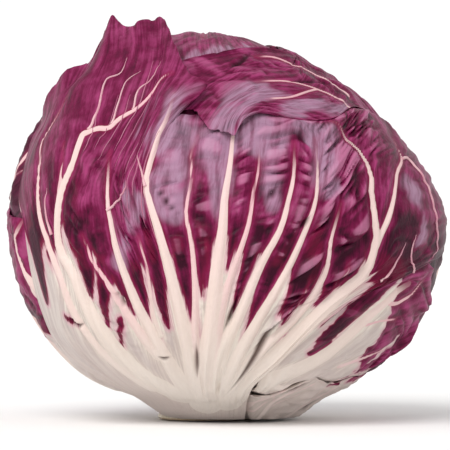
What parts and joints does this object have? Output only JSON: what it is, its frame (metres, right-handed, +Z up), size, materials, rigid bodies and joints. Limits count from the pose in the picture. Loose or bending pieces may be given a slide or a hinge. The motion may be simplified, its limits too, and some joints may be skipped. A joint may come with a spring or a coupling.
{
  "type": "radicchio head",
  "caption": "Round head of radicchio on a cut stem: burgundy wrapper leaves with cream ribs folded over a dense heart, one leaf corner standing up at the top.",
  "frame": {"origin": "middle of the cut face of the stem, which the head rests on", "axes": "+Z up out of the stem through the head, -Y towards the front leaf with the fan of ribs, +X to the right of it"},
  "size_m": [0.1244, 0.1236, 0.1137],
  "materials": {
    "leaf_burgundy": "waxy leaf skin, burgundy with cream ribs",
    "leaf_cream": "waxy leaf skin, cream",
    "leaf_inner": "waxy leaf skin, dark burgundy",
    "heart_leaves": "tightly packed leaf tips",
    "cut_stem": "fresh knife cut, moist"
  },
  "bodies": {
    "root": {"leaf_crown_right": "leaf_burgundy", "leaf_front": "leaf_burgundy", "leaf_base_right": "leaf_cream", "leaf_right_low": "leaf_burgundy", "leaf_back_low": "leaf_burgundy", "leaf_left": "leaf_burgundy", "leaf_crown_left": "leaf_burgundy", "leaf_back_left": "leaf_inner", "leaf_inner_right": "leaf_inner", "leaf_inner_top": "leaf_inner", "heart": "heart_leaves", "stem": "cut_stem"}
  },
  "joints": []
}
